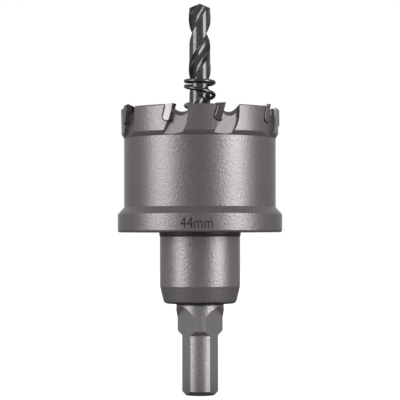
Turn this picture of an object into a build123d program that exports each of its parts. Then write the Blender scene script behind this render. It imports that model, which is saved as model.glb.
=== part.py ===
from build123d import *
from math import cos, degrees, radians, sin, sqrt, tan
import os

# Frame: Z is the axis of rotation and points at the drill's tip, z = 0 is the end of the shank,
# and the front of the saw faces -Y. Millimetres and degrees.

# Shank of the arbor, with its three flats and the collar above it
shank_d = 10.0
shank_length = 16.7
shank_end_chamfer = 1.08
shank_end_round = 0.4
shank_flat_turns = (-60.0, 60.0, 180.0)
shank_flat_depth = 0.55
shank_flat_cutter_r = 5.2
shank_flat_end_gap = 0.6
shoulder_step = 1.6
shoulder_length = 1.15
shoulder_round = 0.35
collar_length = 7.6

# Hub of the arbor, with the weld ring under the cup and the spigot inside it
hub_d = 22.26
hub_length = 13.7
hub_taper = 1.13
hub_taper_length = 4.85
hub_foot_round = 1.15
seam_length = 1.2
seam_proud = 0.2
seam_register_depth = 0.4
seam_clearance = 0.03
spigot_d = 14.0
spigot_clearance = 0.04

# Carbide tips: cutting diameter, size of a tip and its lean, top forward in the cutting direction
cutting_d = 44.0
tip_proud_outside = 0.08
tip_proud_inside = 0.25
tip_proud_front = 0.27
tip_thickness = 2.0
tip_depth = 4.7
tip_heel_round = 1.05
tip_toe_round = 0.6
tip_lean = 15.5
tip_relief = 5.0
braze_gap = 0.05

# How the top of a tip is ground, as heights above the rim: outer corner, peak, inner corner,
# with the distance of the peak from the outer corner
GRINDS = {
    "inner bevel": (0.66, 0.77, -0.1, 0.6),
    "flat": (0.15, 0.15, 0.15, 1.4),
    "outer bevel": (0.35, 0.6, 0.5, 2.2),
}

# Teeth: angle of the leading edge round the axis from the front, gullet width and grind
TEETH = [
    (-65.4, 4.7, "inner bevel"),
    (-19.2, 4.23, "flat"),
    (18.3, 3.87, "outer bevel"),
    (60.9, 3.6, "inner bevel"),
    (96.0, 3.87, "flat"),
    (137.5, 3.87, "outer bevel"),
    (176.0, 3.87, "inner bevel"),
    (217.0, 3.87, "flat"),
    (255.5, 3.87, "outer bevel"),
]

# Cup with its toothed rim and its stop flange
rim_length = 6.9
rim_taper = 0.17
rim_chamfer_length = 1.28
rim_step = 0.7
rim_wall = 2.52
rim_edge_chamfer = 0.3
rim_inner_drop = 0.95
drum_length = 18.98
flange_step = 1.775
flange_length = 4.98
flange_cone_length = 1.97
flange_foot_round = 0.57
flange_edge_round = 0.25
cup_floor_thickness = 5.35
cup_floor_fillet = 1.5

# Chip flute in front of each tip, milled into the outside of the rim and deeper towards the top
flute_floor_sink = 0.13
flute_tilt = 6.0
flute_foot_rise = 0.22
flute_foot_sag = 0.3
flute_foot_setback = 1.75
flute_lean = 25.0
flute_side_sag = 0.4
flute_side_height = 4.75

# Gullet through the rim: its floor slopes down outwards. Depths are measured at a setback into the rim,
# and the deepest point lies at a share of the gullet's width
gullet_setback = 1.47
gullet_depth = 3.1
gullet_depth_at = 0.333
gullet_side_depth = 2.1
gullet_heel_depth = 2.15
gullet_slope = 46.0

# Pilot drill
drill_d = 6.1
drill_length = 75.8
drill_margin_depth = 0.12
drill_margin_width = 0.6
drill_lead = 28.0
drill_flute_length = 46.0
drill_flute_half_angle = 47.0
drill_web = 1.3
drill_runout_length = 8.0
drill_point_angle = 132.0
drill_waist_depth = 8.2
drill_bore_clearance = 0.04
drill_flat_depth = 0.4
drill_flat_length = 9.0
drill_tail_chamfer = 0.4
drill_seat_depth = 11.0

# Ejector spring, wound left handed round the drill: its stretches from the top end to the foot
spring_wire_d = 1.12
spring_clearance = 0.31
spring_length = 37.35
spring_start_angle = 120.0
spring_end_turns = 0.667
spring_end_pitch = 0.75
spring_easing_turns = 0.5
spring_easing_pitch = 2.1
spring_opening_turns = 0.5
spring_opening_pitch = 4.9
spring_pitch = 5.9
spring_foot_turns = 1.0
spring_foot_pitch = 1.25
spring_seat_gap = 0.02

# Grub screw that holds the drill, at the back of the hub
grub_d = 5.0
grub_clearance = 0.05
grub_depth = 6.6
grub_sink = 0.6
grub_socket_af = 2.5
grub_socket_depth = 2.4
grub_end_chamfer = 0.5

# Diameters worked out from the sizes above
shank_end_d = shank_d - 2 * shank_end_chamfer
shank_flat_distance = shank_d / 2 - shank_flat_depth
collar_d = shank_d + 2 * shoulder_step
hub_foot_d = hub_d - 2 * hub_taper
seam_d = hub_d + 2 * seam_proud
rim_top_d = cutting_d - 2 * tip_proud_outside
rim_foot_d = rim_top_d - 2 * rim_taper
drum_d = rim_foot_d - 2 * rim_step
flange_d = drum_d + 2 * flange_step
cup_bore_d = rim_top_d - 2 * rim_wall
tip_inner_d = cup_bore_d - 2 * tip_proud_inside
spring_outer_d = drill_d + 2 * spring_clearance + 2 * spring_wire_d

# Heights worked out from the lengths above
z_shoulder = shank_length
z_collar = z_shoulder + shoulder_length
z_hub = z_collar + collar_length
z_taper = z_hub + hub_taper_length
z_hub_top = z_taper + hub_length
z_flange = z_hub_top + seam_length
z_flange_top = z_flange + flange_length
z_drum = z_flange_top + flange_cone_length
z_rim_foot = z_drum + drum_length
z_rim = z_rim_foot + rim_chamfer_length
z_rim_top = z_rim + rim_length
z_register = z_flange + seam_register_depth
z_floor = z_flange + cup_floor_thickness
z_drill_tail = z_hub_top - drill_seat_depth
z_drill_tip = z_drill_tail + drill_length
z_grub = z_hub_top - grub_depth

# A cut reaches this far past the faces that it opens
overcut = 1.5


def turned(outline):
    """Solid turned from (radius, height) corners; a third value rounds that corner."""
    profile = make_face(Polyline(*[(corner[0], 0, corner[1]) for corner in outline], close=True))
    for r, z, radius in (corner for corner in outline if len(corner) > 2):
        vertex = profile.vertices().sort_by_distance((r, 0, z))[0]
        profile = fillet(vertex, radius)
    return revolve(profile, Axis.Z)


def tooth_plane(angle, radius):
    """Plane square to the tooth's radius: x is the cutting direction, y is up the axis."""
    turn = radians(angle)
    outward = Vector(sin(turn), -cos(turn), 0)
    return Plane(origin=outward * radius, x_dir=(cos(turn), sin(turn), 0), z_dir=outward)


def leaned(forward, up):
    """Point given along the leaned cutting face, as (across, height) on a tooth plane."""
    lean = radians(tip_lean)
    return (forward * cos(lean) + up * sin(lean), z_rim_top - forward * sin(lean) + up * cos(lean))


def tip_outline(gap):
    """Outline of a tip's outer face, grown by the gap at its back and foot."""
    heel = (-tip_thickness - gap, -tip_depth - gap)
    toe = (gap, -tip_depth - gap)
    corners = [leaned(gap, overcut), leaned(*toe), leaned(*heel), leaned(heel[0], overcut)]
    face = make_face(Polyline(*corners, close=True))
    for point, radius in ((leaned(*heel), tip_heel_round + gap), (leaned(*toe), tip_toe_round)):
        vertex = face.vertices().sort_by_distance((*point, 0))[0]
        face = fillet(vertex, radius)
    return face


def ground_top(angle, grind):
    """Space below the ground top of a tip, which falls away behind the cutting edge."""
    outer_height, peak_height, inner_height, peak_setback = GRINDS[grind]
    outer_r, inner_r = cutting_d / 2, tip_inner_d / 2
    floor = z_rim_top - 2 * tip_depth
    outline = [
        (inner_r - overcut, floor),
        (inner_r - overcut, z_rim_top + inner_height),
        (inner_r, z_rim_top + inner_height),
        (outer_r - peak_setback, z_rim_top + peak_height),
        (outer_r, z_rim_top + outer_height),
        (outer_r + overcut, z_rim_top + outer_height),
        (outer_r + overcut, floor),
    ]
    tooth = tooth_plane(angle, 0)
    section = Plane(origin=(0, 0, 0), x_dir=tooth.z_dir, z_dir=-tooth.x_dir)
    face = section * make_face(Polyline(*outline, close=True))
    relief = radians(tip_relief)
    back = -tooth.x_dir * cos(relief) - Vector(0, 0, sin(relief))
    reach = 2 * tip_depth
    return extrude(face, amount=reach, dir=back) + extrude(face, amount=reach, dir=-back)


def carbide_tip(angle, grind):
    """One carbide tip, set into its pocket behind the gullet."""
    inner = tooth_plane(angle, tip_inner_d / 2)
    block = extrude(inner * tip_outline(0), amount=(cutting_d - tip_inner_d) / 2 + overcut)
    return block & Cylinder(cutting_d / 2, 2 * (z_rim_top + overcut)) & ground_top(angle, grind)


def tip_pocket(angle):
    """Cut for the pocket that a tip is brazed into."""
    inner = tooth_plane(angle, tip_inner_d / 2 - overcut)
    return extrude(inner * tip_outline(braze_gap), amount=(rim_top_d - tip_inner_d) / 2 + 2 * overcut)


def chip_flute(angle, gullet_width):
    """Cut for the flute: its near wall stands back under the tip, its far wall is a long curve."""
    foot_z = z_rim_foot + flute_foot_rise + flute_foot_sag
    floor = tooth_plane(angle, drum_d / 2 - flute_floor_sink)
    base = Plane(origin=floor.origin + Vector(0, 0, foot_z), x_dir=floor.x_dir, z_dir=floor.z_dir)
    base = base.rotated((-flute_tilt, 0, 0))
    near = [
        leaned(0, overcut),
        leaned(0, tip_toe_round - tip_depth),
        leaned(-tip_proud_front, tip_toe_round - tip_depth),
        leaned(-tip_proud_front, -tip_depth - braze_gap),
    ]
    near = [(across, height - foot_z) for across, height in near]
    foot = (near[-1][0] - near[-1][1] * tan(radians(flute_lean)), 0)
    foot_end = (gullet_width - flute_foot_setback, 0)
    side = (gullet_width, flute_side_height)
    lip = (gullet_width, z_rim_top + overcut - foot_z)
    outline = Polyline(lip, *near, foot)
    outline += SagittaArc(foot, foot_end, -flute_foot_sag)
    outline += SagittaArc(foot_end, side, -flute_side_sag)
    outline += Line(side, lip)
    return extrude(base * make_face(outline), amount=rim_top_d - drum_d + overcut)


def gullet(angle, gullet_width):
    """Cut for the gullet, pushed along the cutting face so that its floor slopes down outwards."""
    reach = rim_top_d - cup_bore_d
    ref = tooth_plane(angle, rim_top_d / 2 - gullet_setback)
    heel = leaned(0, -gullet_heel_depth)
    floor = (gullet_width * gullet_depth_at, z_rim_top - gullet_depth)
    side = (gullet_width - flute_side_sag / 2, z_rim_top - gullet_side_depth)
    lip = (gullet_width, z_rim_top + reach)
    outline = Polyline(lip, leaned(0, reach), heel)
    outline += ThreePointArc(heel, floor, side)
    outline += Line(side, lip)
    slope, lean = radians(gullet_slope), radians(tip_lean)
    down = -ref.x_dir * sin(lean) - Vector(0, 0, cos(lean))
    push = ref.z_dir * cos(slope) + down * sin(slope)
    face = ref * make_face(outline)
    return extrude(face, amount=reach, dir=push) + extrude(face, amount=reach, dir=-push)


def cup():
    """Cup of the saw: floor with the stop flange, drum and toothed rim."""
    spigot_hole_r = spigot_d / 2 + spigot_clearance
    register_r = seam_d / 2 + seam_clearance
    body = turned([
        (register_r, z_flange),
        (flange_d / 2, z_flange, flange_foot_round),
        (flange_d / 2, z_flange_top, flange_edge_round),
        (drum_d / 2, z_drum),
        (drum_d / 2, z_rim_foot),
        (rim_foot_d / 2, z_rim),
        (rim_top_d / 2, z_rim_top - rim_edge_chamfer),
        (rim_top_d / 2 - rim_edge_chamfer, z_rim_top),
        (cup_bore_d / 2, z_rim_top - rim_inner_drop),
        (cup_bore_d / 2, z_floor, cup_floor_fillet),
        (spigot_hole_r, z_floor),
        (spigot_hole_r, z_register),
        (register_r, z_register),
    ])
    for angle, gullet_width, _ in TEETH:
        body = body - gullet(angle, gullet_width)
        body = body - chip_flute(angle, gullet_width)
        body = body - tip_pocket(angle)
    return body


def shank_flat(turn):
    """Cut for one flat of the shank, ending in a round as the milling cutter leaves it."""
    end_z = z_hub - shank_flat_end_gap - shank_flat_cutter_r
    plane = tooth_plane(turn, shank_flat_distance)
    straight = plane * Pos(0, (end_z - overcut) / 2) * Rectangle(2 * shank_flat_cutter_r, end_z + overcut)
    end = plane * Pos(0, end_z) * Circle(shank_flat_cutter_r)
    return extrude(straight + end, amount=collar_d / 2)


def arbor():
    """Arbor: shank with three flats, collar, hub with the drill's bore, and spigot in the cup."""
    body = turned([
        (0, 0),
        (shank_end_d / 2, 0),
        (shank_d / 2, shank_end_chamfer, shank_end_round),
        (shank_d / 2, z_shoulder, shoulder_round),
        (collar_d / 2, z_collar),
        (collar_d / 2, z_hub),
        (hub_foot_d / 2, z_hub, hub_foot_round),
        (hub_d / 2, z_taper),
        (hub_d / 2, z_hub_top),
        (seam_d / 2, z_hub_top + seam_length / 2, seam_proud),
        (seam_d / 2, z_register),
        (spigot_d / 2, z_register),
        (spigot_d / 2, z_floor),
        (0, z_floor),
    ])
    for turn in shank_flat_turns:
        body = body - shank_flat(turn)
    bore = extrude(Circle(drill_d / 2 + drill_bore_clearance), amount=z_floor - z_drill_tail + overcut)
    body = body - Pos(0, 0, z_drill_tail) * bore
    screw_hole = Plane(origin=(0, 0, z_grub), x_dir=(1, 0, 0), z_dir=(0, 1, 0))
    return body - extrude(screw_hole * Circle(grub_d / 2 + grub_clearance), amount=hub_d)


def drill_section():
    """Section of the fluted drill, with a narrow margin at the cutting side of each land."""
    radius = drill_d / 2
    section = Circle(radius - drill_margin_depth)
    margin = Pos(radius / 2, 0) * Rectangle(radius, drill_margin_width) & Circle(radius)
    margin_turn = -drill_flute_half_angle - degrees(drill_margin_width / drill_d)
    for turn in (margin_turn, margin_turn + 180):
        section += Rot(0, 0, turn) * margin
    web_r = drill_web / 2
    flute_edge = radius * cos(radians(drill_flute_half_angle))
    centre = (radius**2 - web_r**2) / (2 * (flute_edge - web_r))
    for side in (-1, 1):
        section -= Pos(side * centre, 0) * Circle(centre - web_r)
    return section


def pilot_drill():
    """Twist drill with two right handed flutes and a flat for the grub screw."""
    radius = drill_d / 2
    flute_foot = z_drill_tip - drill_flute_length
    pieces = 4
    step = drill_flute_length / pieces
    turn_per_step = 360 * step / drill_lead
    start_turn = 360 * (drill_waist_depth - drill_flute_length) / drill_lead
    section = drill_section().face()
    body = Pos(0, 0, z_drill_tail) * extrude(Circle(radius), amount=flute_foot - z_drill_tail)
    for index in range(pieces):
        foot = Pos(0, 0, flute_foot + index * step) * Rot(0, 0, start_turn + index * turn_per_step)
        body += foot * Solid.extrude_linear_with_rotation(section, (0, 0, 0), (0, 0, step), turn_per_step)
    body += Pos(0, 0, flute_foot + drill_runout_length / 2) * Cone(radius, drill_web / 2, drill_runout_length)
    pointed = turned([
        (0, z_drill_tail),
        (radius - drill_tail_chamfer, z_drill_tail),
        (radius, z_drill_tail + drill_tail_chamfer),
        (radius, z_drill_tip - radius / tan(radians(drill_point_angle / 2))),
        (0, z_drill_tip),
    ])
    flat_y = radius - drill_flat_depth + radius / 2
    return (body & pointed) - Pos(0, flat_y, z_grub) * Box(drill_d, radius, drill_flat_length)


def ejector_spring():
    """Compression spring whose end turns lie close, from the cup's floor up round the drill."""
    coil_r = (spring_outer_d - spring_wire_d) / 2
    wire_r = spring_wire_d / 2
    stretches = [
        (spring_end_turns, spring_end_pitch),
        (spring_easing_turns, spring_easing_pitch),
        (spring_opening_turns, spring_opening_pitch),
        (spring_foot_turns, spring_foot_pitch),
    ]
    end_drops = sum(turns * pitch for turns, pitch in stretches)
    open_turns = (spring_length - spring_wire_d - spring_seat_gap - end_drops) / spring_pitch
    stretches.insert(-1, (open_turns, spring_pitch))
    spring = Part()
    z, turn = z_floor + spring_length - wire_r, spring_start_angle
    for turns, pitch in stretches:
        z -= turns * pitch
        turn += 360 * turns
        coil = Helix(pitch=pitch, height=turns * pitch, radius=coil_r, lefthand=True)
        section = Plane(origin=coil @ 0, z_dir=coil % 0) * Circle(wire_r)
        foot = Pos(0, 0, z) * Rot(0, 0, turn)
        spring += foot * sweep(section, path=coil)
        spring += foot * Pos(coil_r, 0, 0) * Sphere(wire_r)
    return spring


def grub_screw():
    """Hexagon socket grub screw, seated on the drill's flat."""
    seat_r = drill_d / 2 - drill_flat_depth
    length = hub_d / 2 - grub_sink - seat_r
    screw = turned([
        (0, 0),
        (grub_d / 2 - grub_end_chamfer, 0),
        (grub_d / 2, grub_end_chamfer),
        (grub_d / 2, length - grub_end_chamfer / 2),
        (grub_d / 2 - grub_end_chamfer / 2, length),
        (0, length),
    ])
    socket = extrude(RegularPolygon(grub_socket_af / sqrt(3), 6), amount=grub_socket_depth + overcut)
    axis = Plane(origin=(0, seat_r, z_grub), x_dir=(1, 0, 0), z_dir=(0, 1, 0))
    return axis * (screw - Pos(0, 0, length - grub_socket_depth) * socket)


def main():
    os.makedirs("parts", exist_ok=True)
    nodes = {
        "cutter_cup": cup(),
        "arbor": arbor(),
        "pilot_drill": pilot_drill(),
        "ejector_spring": ejector_spring(),
        "grub_screw": grub_screw(),
    }
    for number, (angle, _, grind) in enumerate(TEETH, start=1):
        nodes[f"carbide_tip_{number}"] = carbide_tip(angle, grind)
    for name, shape in nodes.items():
        export_step(shape, f"parts/{name}.step")


main()
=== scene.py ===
from math import cos, pi, radians, sin

import bmesh
import bpy
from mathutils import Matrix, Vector


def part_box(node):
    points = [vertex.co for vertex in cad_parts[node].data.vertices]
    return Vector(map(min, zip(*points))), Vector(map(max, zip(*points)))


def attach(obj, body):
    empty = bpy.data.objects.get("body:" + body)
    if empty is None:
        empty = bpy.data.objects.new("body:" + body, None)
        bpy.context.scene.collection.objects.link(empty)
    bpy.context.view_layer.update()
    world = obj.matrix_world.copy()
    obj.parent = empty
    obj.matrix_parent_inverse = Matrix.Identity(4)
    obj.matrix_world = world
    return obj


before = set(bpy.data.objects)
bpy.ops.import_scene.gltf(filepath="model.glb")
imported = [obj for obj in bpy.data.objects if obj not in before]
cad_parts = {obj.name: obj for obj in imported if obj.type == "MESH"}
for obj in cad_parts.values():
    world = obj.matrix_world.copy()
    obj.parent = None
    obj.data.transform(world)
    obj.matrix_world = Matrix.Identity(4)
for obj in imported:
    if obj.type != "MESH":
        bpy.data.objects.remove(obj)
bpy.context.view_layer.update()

MM = 0.001

# Heights over the shank's end, and distances from the axis, that the finishes follow
collar_top = 25.45 * MM
hub_middle = 37.15 * MM
hub_half = 6.85 * MM
weld_height = 1.2 * MM
flange_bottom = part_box("cutter_cup")[0].z
flange_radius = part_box("cutter_cup")[1].x
rim_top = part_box("cutter_cup")[1].z
rim_half = 4.1 * MM
rim_radius = 21.92 * MM
flute_middle = 20.6 * MM
flute_half = 0.85 * MM
# Half height of the band of painted shade at the top of the collar, under the hub's foot
painted_shade_half = 0.25 * MM

# How far the edges of these zones are spread
soft_edge = 0.3 * MM
# Spread of the edges of the painted shade band under the hub's foot
painted_shade_edge = 0.35 * MM
sharp_edge = 0.1 * MM

# Teeth: angle of each leading edge round the axis from the front, in degrees
tooth_angles = (-65.4, -19.2, 18.3, 60.9, 96.0, 137.5, 176.0, 217.0, 255.5)

# Outline of a tip on the outside of the rim
tip_thickness = 2.0 * MM
tip_depth = 4.7 * MM
tip_heel_round = 1.1 * MM
tip_toe_round = 0.6 * MM
tip_lean = radians(15.5)

# Braze round a tip: dark seam outside its edge, and a bright line of filler inside it
seam_gap = 0.12 * MM
seam_width = 0.5 * MM
seam_start = 0.75 * MM
filler_inset = 0.15 * MM
filler_width = 0.3 * MM
filler_start = 1.1 * MM
filler_end = 3.95 * MM

# Size mark on the front of the flange
mark_figures = "44mm"
mark_left = -5.3 * MM
mark_width = 8.8 * MM
mark_bottom = 46.15 * MM
mark_height = 3.1 * MM
mark_proud = 0.008 * MM

# Blasting: sizes of the grain, the clouding and the dents, and how deep the dents are
grain_size = 0.32 * MM
cloud_size = 4.0 * MM
dent_size = 0.62 * MM
dent_depth = 0.07 * MM
milled_depth = 0.035 * MM

# Tones of the steel; pairs run from the darker to the paler grains
blasted_tones = ((0.515, 0.474, 0.479), (0.605, 0.556, 0.563))
turned_tones = ((0.78, 0.736, 0.742), (0.88, 0.83, 0.838))
cloud_tone = (0.52, 0.478, 0.483)
pale_hub_tone = (0.83, 0.783, 0.79)
milled_tone = (0.42, 0.387, 0.391)
# Painted shade: near-black tone for the top of the collar, where the hub's foot overhangs it
painted_shade_tone = (0.12, 0.108, 0.108)
weld_tone = (0.165, 0.142, 0.147)

# Shares of the second tone where the steel clouds, is paler on the hub, or is milled
cloud_share = 0.35
pale_hub_share = 0.35
milled_tone_share = 0.75

# Roughness of the blasted and of the turned steel, from grain to grain
blasted_rough = (0.36, 0.45)
turned_rough = (0.37, 0.43)

# Depth of the marks in ground, drawn and tempered surfaces
fine_depth = 0.004 * MM


def put(tree, value, socket):
    """Links a socket to an input, or sets the input to a number or a colour."""
    if isinstance(value, bpy.types.NodeSocket):
        tree.links.new(value, socket)
    elif isinstance(value, tuple):
        socket.default_value = (*value, 1)
    else:
        socket.default_value = value


def arithmetic(tree, operation, *values):
    """Result of a math node on sockets or numbers."""
    node = tree.nodes.new("ShaderNodeMath")
    node.operation = operation
    for value, socket in zip(values, node.inputs):
        put(tree, value, socket)
    return node.outputs[0]


def remap(tree, value, source, target):
    """Node that takes a value from its source range to the target range, and holds it there."""
    node = tree.nodes.new("ShaderNodeMapRange")
    node.inputs["From Min"].default_value, node.inputs["From Max"].default_value = source
    node.inputs["To Min"].default_value, node.inputs["To Max"].default_value = target
    tree.links.new(value, node.inputs["Value"])
    return node


def spread(tree, marks, low, high):
    """Noise, which mostly lies between 0.3 and 0.7, spread from low to high."""
    return remap(tree, marks, (0.3, 0.7), (low, high)).outputs["Result"]


def noise(tree, coords, size, detail=2.0, roughness=0.5):
    """Noise whose grains are about the given size in metres."""
    node = tree.nodes.new("ShaderNodeTexNoise")
    node.inputs["Scale"].default_value = 1 / size
    node.inputs["Detail"].default_value = detail
    node.inputs["Roughness"].default_value = roughness
    tree.links.new(coords, node.inputs["Vector"])
    return node.outputs["Fac"]


def ramp(tree, value, stops):
    """Colour ramp through (position, colour) stops."""
    node = tree.nodes.new("ShaderNodeValToRGB")
    elements = node.color_ramp.elements
    while len(elements) < len(stops):
        elements.new(0.5)
    for element, (position, colour) in zip(elements, stops):
        element.position = position
        element.color = (*colour, 1)
    tree.links.new(value, node.inputs["Fac"])
    return node.outputs["Color"]


def blend(tree, share, first, second):
    """Mix of two colours, each a socket or a colour; a share of 1 gives the second."""
    node = tree.nodes.new("ShaderNodeMix")
    node.data_type = "RGBA"
    put(tree, share, node.inputs[0])
    put(tree, first, node.inputs[6])
    put(tree, second, node.inputs[7])
    return node.outputs[2]


def bump(tree, shader, height, depth, strength=1.0):
    """Surface relief of the given depth in metres."""
    node = tree.nodes.new("ShaderNodeBump")
    node.inputs["Strength"].default_value = strength
    put(tree, depth, node.inputs["Distance"])
    tree.links.new(height, node.inputs["Height"])
    tree.links.new(node.outputs["Normal"], shader.inputs["Normal"])


def height_of(tree, coords):
    """Height over the shank's end."""
    split = tree.nodes.new("ShaderNodeSeparateXYZ")
    tree.links.new(coords, split.inputs["Vector"])
    return split.outputs["Z"]


def length_of(tree, vector):
    """Length of a vector."""
    node = tree.nodes.new("ShaderNodeVectorMath")
    node.operation = "LENGTH"
    tree.links.new(vector, node.inputs[0])
    return node.outputs["Value"]


def reach_of(tree, coords):
    """Distance from the saw's axis."""
    flat = tree.nodes.new("ShaderNodeVectorMath")
    flat.operation = "MULTIPLY"
    flat.inputs[1].default_value = (1, 1, 0)
    tree.links.new(coords, flat.inputs[0])
    return length_of(tree, flat.outputs["Vector"])


def band(tree, measure, middle, half_width, edge):
    """1 where the measure is inside a band round its middle, falling to 0 over its edge."""
    away = arithmetic(tree, "ABSOLUTE", arithmetic(tree, "SUBTRACT", measure, middle))
    share = remap(tree, away, (half_width + edge, half_width), (0, 1))
    share.interpolation_type = "SMOOTHSTEP"
    return share.outputs["Result"]


def new_material(name):
    """Empty material with its node tree, principled shader and object coordinates."""
    material = bpy.data.materials.new(name)
    material.use_nodes = True
    tree = material.node_tree
    shader = tree.nodes["Principled BSDF"]
    coords = tree.nodes.new("ShaderNodeTexCoord").outputs["Object"]
    return material, tree, shader, coords


def grained(tree, grain, tones):
    """Steel of two tones, by its blasted or turned grain."""
    return ramp(tree, grain, [(0.36, tones[0]), (0.64, tones[1])])


def arbor_zones(tree, height, grain, steel, rough):
    """Arbor's paler hub, turned shank and collar, painted shade under the hub's foot, and weld
    ring.
    """
    hub = band(tree, height, hub_middle, hub_half, soft_edge)
    steel = blend(tree, hub, steel, blend(tree, pale_hub_share, steel, pale_hub_tone))
    turned = band(tree, height, 0, collar_top, soft_edge)
    steel = blend(tree, turned, steel, grained(tree, grain, turned_tones))
    rough = blend(tree, turned, rough, spread(tree, grain, *turned_rough))
    # Painted shade: the top of the collar darkened just under the hub's foot
    painted_shade_share = band(tree, height, collar_top, painted_shade_half, painted_shade_edge)
    steel = blend(tree, painted_shade_share, steel, painted_shade_tone)
    weld = band(tree, height, flange_bottom - weld_height / 2, weld_height / 2, sharp_edge)
    steel = blend(tree, weld, steel, weld_tone)
    return steel, rough


def milled_share(tree, coords, height):
    """1 in the milled flutes and gullets of the cup's rim."""
    rim = band(tree, height, rim_top - rim_half, rim_half, sharp_edge)
    flute = band(tree, reach_of(tree, coords), flute_middle, flute_half, sharp_edge)
    return arithmetic(tree, "MULTIPLY", rim, flute)


def blasted_steel(name, piece):
    """Satin steel blasted with fine beads, with the zones that the cup or the arbor has besides."""
    material, tree, shader, coords = new_material(name)
    grain = noise(tree, coords, grain_size, roughness=0.6)
    cloud = noise(tree, coords, cloud_size)
    height = height_of(tree, coords)
    steel = grained(tree, grain, blasted_tones)
    steel = blend(tree, spread(tree, cloud, 0, cloud_share), steel, cloud_tone)
    rough = spread(tree, grain, *blasted_rough)
    depth = dent_depth
    if piece == "arbor":
        steel, rough = arbor_zones(tree, height, grain, steel, rough)
    else:
        milled = milled_share(tree, coords, height)
        milled_steel = blend(tree, milled_tone_share, steel, milled_tone)
        steel = blend(tree, milled, steel, milled_steel)
        depth = remap(tree, milled, (0, 1), (dent_depth, milled_depth)).outputs["Result"]
    tree.links.new(steel, shader.inputs["Base Color"])
    tree.links.new(rough, shader.inputs["Roughness"])
    shader.inputs["Metallic"].default_value = 1.0
    bump(tree, shader, noise(tree, coords, dent_size, roughness=0.6), depth)
    return material


def ground_carbide():
    """Cemented carbide with fine grinding marks."""
    material, tree, shader, coords = new_material("ground_carbide")
    stretch = tree.nodes.new("ShaderNodeMapping")
    stretch.inputs["Scale"].default_value = (1, 1, 12)
    tree.links.new(coords, stretch.inputs["Vector"])
    marks = noise(tree, stretch.outputs["Vector"], 0.7 * MM, detail=4.0)
    tone = ramp(tree, marks, [(0.25, (0.37, 0.357, 0.355)), (0.75, (0.49, 0.472, 0.468))])
    tree.links.new(tone, shader.inputs["Base Color"])
    tree.links.new(spread(tree, marks, 0.1, 0.15), shader.inputs["Roughness"])
    shader.inputs["Metallic"].default_value = 1.0
    bump(tree, shader, marks, fine_depth, 0.4)
    return material


def mottled(name, size, detail, dark, pale, metallic):
    """Material mottled between two tones, with its tree, shader and mottling for more."""
    material, tree, shader, coords = new_material(name)
    marks = noise(tree, coords, size, detail)
    tree.links.new(ramp(tree, marks, [(0.3, dark), (0.7, pale)]), shader.inputs["Base Color"])
    shader.inputs["Metallic"].default_value = metallic
    return material, tree, shader, marks


def black_drill_steel():
    """Steam tempered drill steel, black and glossy."""
    dark, pale = (0.21, 0.21, 0.21), (0.33, 0.328, 0.325)
    material, tree, shader, marks = mottled("black_drill_steel", 0.6 * MM, 3.0, dark, pale, 0.85)
    tree.links.new(spread(tree, marks, 0.16, 0.24), shader.inputs["Roughness"])
    bump(tree, shader, marks, fine_depth, 0.3)
    return material


def dark_spring_steel():
    """Oil tempered wire, brownish black with a soft gloss."""
    dark, pale = (0.216, 0.201, 0.188), (0.378, 0.356, 0.335)
    material, tree, shader, marks = mottled("dark_spring_steel", 0.5 * MM, 3.0, dark, pale, 1.0)
    tree.links.new(spread(tree, marks, 0.2, 0.3), shader.inputs["Roughness"])
    bump(tree, shader, marks, fine_depth, 0.3)
    return material


def dark_braze():
    """Darkened braze in the seam round a tip."""
    dark, pale = (0.034, 0.027, 0.026), (0.085, 0.07, 0.067)
    material, _, shader, _ = mottled("dark_braze", 0.3 * MM, 2.0, dark, pale, 0.5)
    shader.inputs["Roughness"].default_value = 0.5
    return material


def bright_braze():
    """Silver braze filler where it shows bare."""
    dark, pale = (0.5, 0.47, 0.46), (0.66, 0.62, 0.61)
    material, _, shader, _ = mottled("bright_braze", 0.3 * MM, 2.0, dark, pale, 1.0)
    shader.inputs["Roughness"].default_value = 0.3
    return material


def laser_mark():
    """Matt dark oxide of a laser mark."""
    dark, pale = (0.042, 0.035, 0.036), (0.078, 0.066, 0.067)
    material, _, shader, _ = mottled("laser_mark", 0.2 * MM, 2.0, dark, pale, 0.0)
    shader.inputs["Roughness"].default_value = 0.7
    return material


def dress_nodes():
    """Gives every solid its finish; the solids not named here are the carbide tips."""
    spring_steel = dark_spring_steel()
    carbide = ground_carbide()
    finishes = {
        "cutter_cup": blasted_steel("blasted_cup_steel", "cup"),
        "arbor": blasted_steel("blasted_arbor_steel", "arbor"),
        "pilot_drill": black_drill_steel(),
        "ejector_spring": spring_steel,
        "grub_screw": spring_steel,
    }
    for name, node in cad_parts.items():
        node.data.materials.clear()
        node.data.materials.append(finishes.get(name, carbide))


def add_object(name, data):
    """New object at the origin, linked to the scene."""
    obj = bpy.data.objects.new(name, data)
    bpy.context.scene.collection.objects.link(obj)
    return obj


def leaned(forward, up):
    """Point given along the leaned cutting face, as (across, height above the rim)."""
    across = forward * cos(tip_lean) + up * sin(tip_lean)
    height = up * cos(tip_lean) - forward * sin(tip_lean)
    return across, height


def seam_points():
    """Points along the dark seam of one tip, down its back and under its foot."""
    points = [leaned(-tip_thickness - seam_gap, -seam_start)]
    steps = 6
    for forward, radius, start, end in (
        (-tip_thickness + tip_heel_round, tip_heel_round, pi, 1.5 * pi),
        (-tip_toe_round, tip_toe_round, 1.5 * pi, 1.9 * pi),
    ):
        up = -tip_depth + radius
        reach = radius + seam_gap
        for step in range(steps + 1):
            turn = start + (end - start) * step / steps
            points.append(leaned(forward + reach * cos(turn), up + reach * sin(turn)))
    return points


def filler_points():
    """Points along the bright line of filler at the back of one tip."""
    back = -tip_thickness + filler_inset
    return [leaned(back, -filler_start), leaned(back, -filler_end)]


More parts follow.
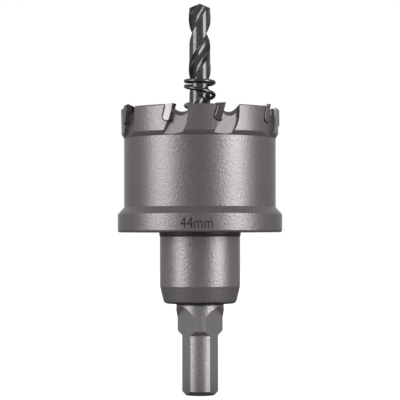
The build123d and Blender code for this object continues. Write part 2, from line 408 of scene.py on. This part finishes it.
def round_rim(name, points, radius):
    """Curve through the points, laid round the front of the rim, with the tooth's edge at 0."""
    curve = bpy.data.curves.new(name, "CURVE")
    curve.dimensions = "3D"
    spline = curve.splines.new("POLY")
    spline.points.add(len(points) - 1)
    for point, (across, height) in zip(spline.points, points):
        turn = across / radius
        point.co = (radius * sin(turn), -radius * cos(turn), rim_top + height, 1)
    return add_object(name, curve)


def bead_tree(material):
    """Geometry Nodes tree that sets a bead along the seam path once at every tooth's angle."""
    tree = bpy.data.node_groups.new("braze_bead", "GeometryNodeTree")
    for name, way, kind in (
        ("Geometry", "INPUT", "NodeSocketGeometry"),
        ("Seam path", "INPUT", "NodeSocketObject"),
        ("Bead width", "INPUT", "NodeSocketFloat"),
        ("Geometry", "OUTPUT", "NodeSocketGeometry"),
    ):
        tree.interface.new_socket(name, in_out=way, socket_type=kind)
    add, link = tree.nodes.new, tree.links.new
    inputs, outputs = add("NodeGroupInput"), add("NodeGroupOutput")
    info, circle = add("GeometryNodeObjectInfo"), add("GeometryNodeCurvePrimitiveCircle")
    half, bead = add("ShaderNodeMath"), add("GeometryNodeCurveToMesh")
    turn, place = add("GeometryNodeInputNamedAttribute"), add("ShaderNodeCombineXYZ")
    spin, instance = add("FunctionNodeEulerToRotation"), add("GeometryNodeInstanceOnPoints")
    realize, paint = add("GeometryNodeRealizeInstances"), add("GeometryNodeSetMaterial")
    half.operation = "DIVIDE"
    half.inputs[1].default_value = 2
    circle.inputs["Resolution"].default_value = 8
    bead.inputs["Fill Caps"].default_value = True
    turn.data_type = "FLOAT"
    turn.inputs["Name"].default_value = "tooth_turn"
    paint.inputs["Material"].default_value = material
    link(inputs.outputs["Seam path"], info.inputs["Object"])
    link(inputs.outputs["Bead width"], half.inputs[0])
    link(half.outputs[0], circle.inputs["Radius"])
    link(info.outputs["Geometry"], bead.inputs["Curve"])
    link(circle.outputs["Curve"], bead.inputs["Profile Curve"])
    link(turn.outputs["Attribute"], place.inputs["Z"])
    link(place.outputs["Vector"], spin.inputs["Euler"])
    link(inputs.outputs["Geometry"], instance.inputs["Points"])
    link(bead.outputs["Mesh"], instance.inputs["Instance"])
    link(spin.outputs["Rotation"], instance.inputs["Rotation"])
    link(instance.outputs["Instances"], realize.inputs["Geometry"])
    link(realize.outputs["Geometry"], paint.inputs["Geometry"])
    link(paint.outputs["Geometry"], outputs.inputs["Geometry"])
    return tree


def plain_mesh(obj):
    """The object with its modifiers worked into a plain mesh."""
    graph = bpy.context.evaluated_depsgraph_get()
    mesh = bpy.data.meshes.new_from_object(obj.evaluated_get(graph))
    obj.modifiers.clear()
    obj.data = mesh
    for polygon in mesh.polygons:
        polygon.use_smooth = True
    return obj


def braze_beads(name, points, radius, width, material):
    """Bead of braze through the points, at each of the nine tips."""
    path = round_rim(name + "_path", points, radius)
    marks = bpy.data.meshes.new("tooth_marks")
    marks.from_pydata([(0, 0, 0)] * len(tooth_angles), [], [])
    turns = marks.attributes.new("tooth_turn", "FLOAT", "POINT")
    turns.data.foreach_set("value", [radians(angle) for angle in tooth_angles])
    beads = add_object(name, marks)
    modifier = beads.modifiers.new("braze_bead", "NODES")
    modifier.node_group = bead_tree(material)
    sockets = {
        item.name: item.identifier
        for item in modifier.node_group.interface.items_tree
        if item.in_out == "INPUT"
    }
    modifier[sockets["Seam path"]] = path
    modifier[sockets["Bead width"]] = width
    finished = plain_mesh(beads)
    bpy.data.objects.remove(path)
    return finished


def cut_finely(mesh):
    """Cuts every edge in four, so that flat figures can follow a round surface."""
    figures = bmesh.new()
    figures.from_mesh(mesh)
    bmesh.ops.subdivide_edges(figures, edges=figures.edges, cuts=3, use_grid_fill=True)
    figures.to_mesh(mesh)
    figures.free()


def size_mark(material):
    """Cutting diameter in plain figures, laid on the front of the flange."""
    words = bpy.data.curves.new("size_mark", "FONT")
    words.body = mark_figures
    words.resolution_u = 4
    text = add_object("size_mark_text", words)
    graph = bpy.context.evaluated_depsgraph_get()
    mesh = bpy.data.meshes.new_from_object(text.evaluated_get(graph))
    bpy.data.objects.remove(text)
    cut_finely(mesh)
    xs = [vertex.co.x for vertex in mesh.vertices]
    ys = [vertex.co.y for vertex in mesh.vertices]
    left, low = min(xs), min(ys)
    wide = mark_width / (max(xs) - left)
    tall = mark_height / (max(ys) - low)
    radius = flange_radius + mark_proud
    for vertex in mesh.vertices:
        turn = (mark_left + (vertex.co.x - left) * wide) / radius
        height = mark_bottom + (vertex.co.y - low) * tall
        vertex.co = (radius * sin(turn), -radius * cos(turn), height)
    mesh.materials.clear()
    mesh.materials.append(material)
    return add_object("size_mark", mesh)


def by_ray(tree, kinds, other, chosen):
    """The chosen shader for rays of the given kinds, and the other one for the rest."""
    path = tree.nodes.new("ShaderNodeLightPath")
    share = path.outputs[kinds[0]]
    for kind in kinds[1:]:
        share = arithmetic(tree, "MAXIMUM", share, path.outputs[kind])
    mix = tree.nodes.new("ShaderNodeMixShader")
    tree.links.new(share, mix.inputs["Fac"])
    tree.links.new(other.outputs[0], mix.inputs[1])
    tree.links.new(chosen.outputs[0], mix.inputs[2])
    return mix


def studio_room():
    """World that is white where it is seen; in the metal it is white behind the saw only."""
    world = bpy.data.worlds.new("studio_room")
    bpy.context.scene.world = world
    world.use_nodes = True
    tree = world.node_tree
    tree.nodes.clear()
    output = tree.nodes.new("ShaderNodeOutputWorld")
    white = tree.nodes.new("ShaderNodeBackground")
    white.inputs["Color"].default_value = (1, 1, 1, 1)
    room = tree.nodes.new("ShaderNodeBackground")
    split = tree.nodes.new("ShaderNodeSeparateXYZ")
    coords = tree.nodes.new("ShaderNodeTexCoord").outputs["Generated"]
    tree.links.new(coords, split.inputs["Vector"])
    front_to_back = remap(tree, split.outputs["Y"], (-1, 1), (0, 1)).outputs["Result"]
    levels = ((0.0, 0.15), (0.55, 0.16), (0.72, 0.265), (0.88, 0.265), (0.95, 0.5), (1.0, 1.0))
    tone = ramp(tree, front_to_back, [(place, (level,) * 3) for place, level in levels])
    tree.links.new(tone, room.inputs["Color"])
    seen = by_ray(tree, ("Is Camera Ray", "Is Transmission Ray"), room, white)
    tree.links.new(seen.outputs[0], output.inputs["Surface"])


def glow(tree, reach, source, target):
    """Emission whose strength follows the distance from the saw."""
    node = tree.nodes.new("ShaderNodeEmission")
    strength = remap(tree, reach, source, target).outputs["Result"]
    tree.links.new(strength, node.inputs["Strength"])
    return node


def studio_floor():
    """Pale floor: white where it is seen, with the saw's own shadow, and a faint glow in the metal
    that has a painted shadow round the saw's foot.
    """
    half = 2.0
    corners = [(-half, -half, 0), (half, -half, 0), (half, half, 0), (-half, half, 0)]
    mesh = bpy.data.meshes.new("studio_floor")
    mesh.from_pydata(corners, [], [(0, 1, 2, 3)])
    floor = add_object("studio_floor", mesh)
    material, tree, shader, coords = new_material("pale_floor")
    tree.nodes.remove(shader)
    reach = length_of(tree, coords)
    paint = tree.nodes.new("ShaderNodeBsdfDiffuse")
    paint.inputs["Color"].default_value = (0.8, 0.8, 0.8, 1)
    white = glow(tree, reach, (0.1, 0.5), (0.86, 1.0))
    # In the metal the floor glows faintly, with a painted shadow: the glow is weaker within 4 cm of
    # the axis
    faint_glow_painted_shadow = glow(tree, reach, (0.01, 0.04), (0.04, 0.15))
    lit = tree.nodes.new("ShaderNodeAddShader")
    tree.links.new(paint.outputs[0], lit.inputs[0])
    tree.links.new(white.outputs[0], lit.inputs[1])
    surface = by_ray(tree, ("Is Glossy Ray",), paint, faint_glow_painted_shadow)
    surface = by_ray(tree, ("Is Camera Ray", "Is Transmission Ray"), surface, lit)
    tree.links.new(surface.outputs[0], tree.nodes["Material Output"].inputs["Surface"])
    mesh.materials.append(material)


def softbox(name, side_angle, width, power):
    """Tall area lamp at an angle round the saw from the camera's side, facing the axis."""
    distance, height, middle = 0.7, 1.1, 0.1
    lamp = bpy.data.lights.new(name, "AREA")
    lamp.shape = "RECTANGLE"
    lamp.size = width
    lamp.size_y = height
    lamp.energy = power
    holder = add_object(name, lamp)
    turn = radians(side_angle)
    place = Vector((distance * sin(turn), -distance * cos(turn), middle))
    holder.location = place
    holder.rotation_euler = (Vector((0, 0, middle)) - place).to_track_quat("-Z", "Y").to_euler()


def photo_camera():
    """Level camera in front of the saw, at the photograph's distance and height."""
    distance, height = 473 * MM, 42.82 * MM
    roll = radians(0.08)
    image_side = 400
    pixels_per_metre = 3598
    eye_level = 240.85
    sensor = 36.0
    data = bpy.data.cameras.new("photo_camera")
    data.sensor_width = sensor
    data.lens = sensor * pixels_per_metre * distance / image_side
    data.shift_y = (eye_level - image_side / 2) / image_side
    data.clip_start, data.clip_end = 0.01, 20
    camera = add_object("photo_camera", data)
    camera.location = (0, -distance, height)
    camera.rotation_euler = (pi / 2, roll, 0)
    bpy.context.scene.camera = camera


bpy.context.scene.view_settings.view_transform = "Standard"
dress_nodes()
for piece in (
    braze_beads("braze_seams", seam_points(), rim_radius - seam_gap, seam_width, dark_braze()),
    braze_beads("braze_filler", filler_points(), rim_radius, filler_width, bright_braze()),
    size_mark(laser_mark()),
):
    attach(piece, "root")
studio_room()
studio_floor()
softbox("left_softbox", -58, 0.44, 2.5)
softbox("right_softbox", 54, 0.4, 3.05)
photo_camera()
